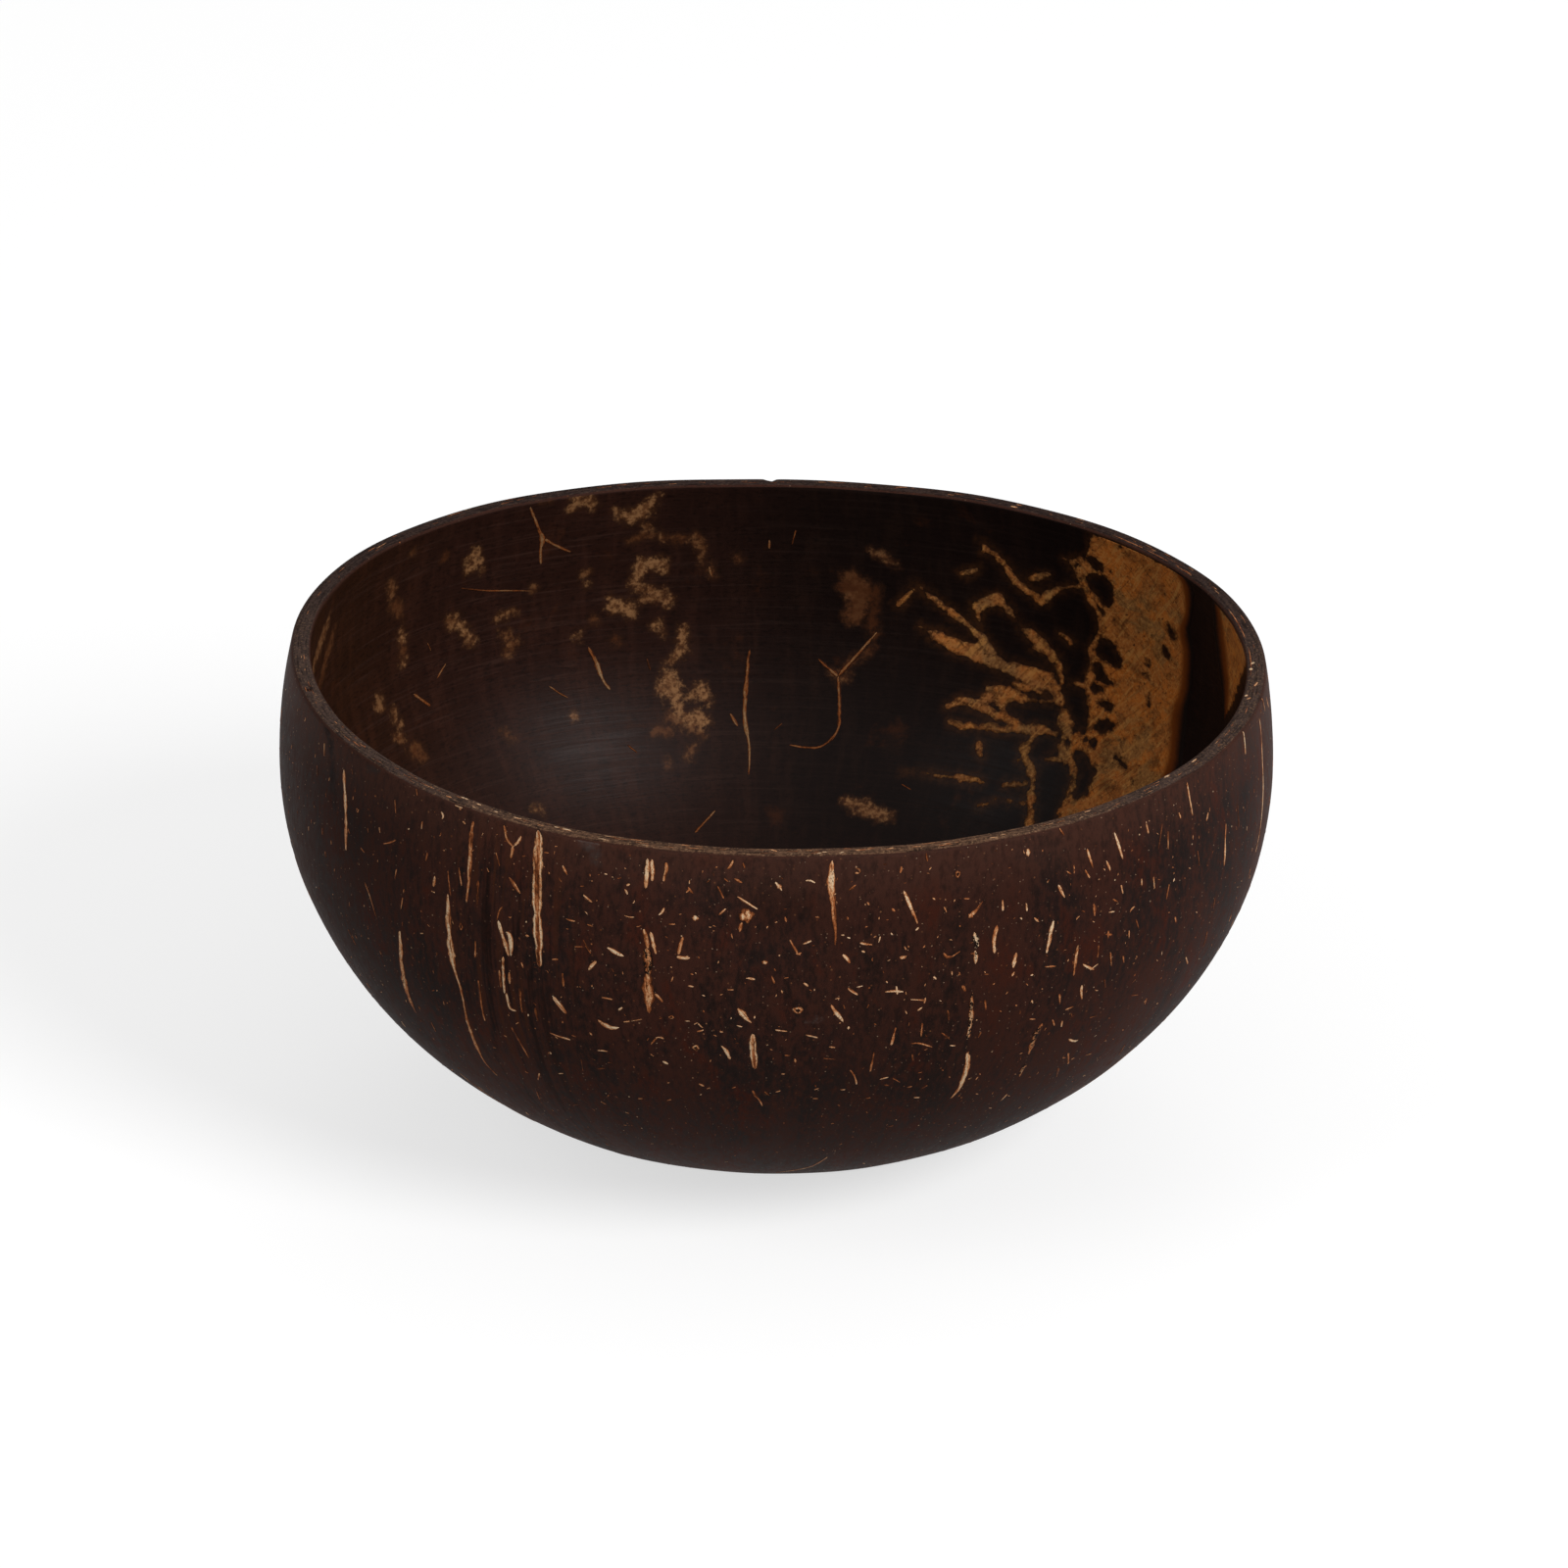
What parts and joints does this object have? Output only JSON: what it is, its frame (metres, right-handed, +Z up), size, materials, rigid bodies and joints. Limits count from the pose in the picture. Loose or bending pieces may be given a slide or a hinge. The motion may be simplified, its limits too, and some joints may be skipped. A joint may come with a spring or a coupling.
{
  "type": "coconut shell bowl",
  "caption": "Round deep bowl carved from a coconut shell, slightly drawn in at the rim, with a flat base and pale husk fibres set flush in its dark wall.",
  "frame": {"origin": "middle of the flat base, on the surface that the bowl stands on", "axes": "+Z up through the mouth, X along the bowl's widest line across the picture, -Y towards the camera"},
  "size_m": [0.13, 0.1222, 0.065],
  "materials": {
    "coconut_shell": "sanded and oiled, satin, darker inside",
    "husk_fibre": "matte pale fibre, sanded flush",
    "inner_fibre": "matte tan fibre, sanded flush"
  },
  "bodies": {
    "root": {"shell": "coconut_shell", "long_strands": "husk_fibre", "short_strands": "husk_fibre", "forked_strands": "husk_fibre", "fibre_knots": "husk_fibre", "rim_strand_ends": "husk_fibre", "inner_strands": "inner_fibre"}
  },
  "joints": []
}
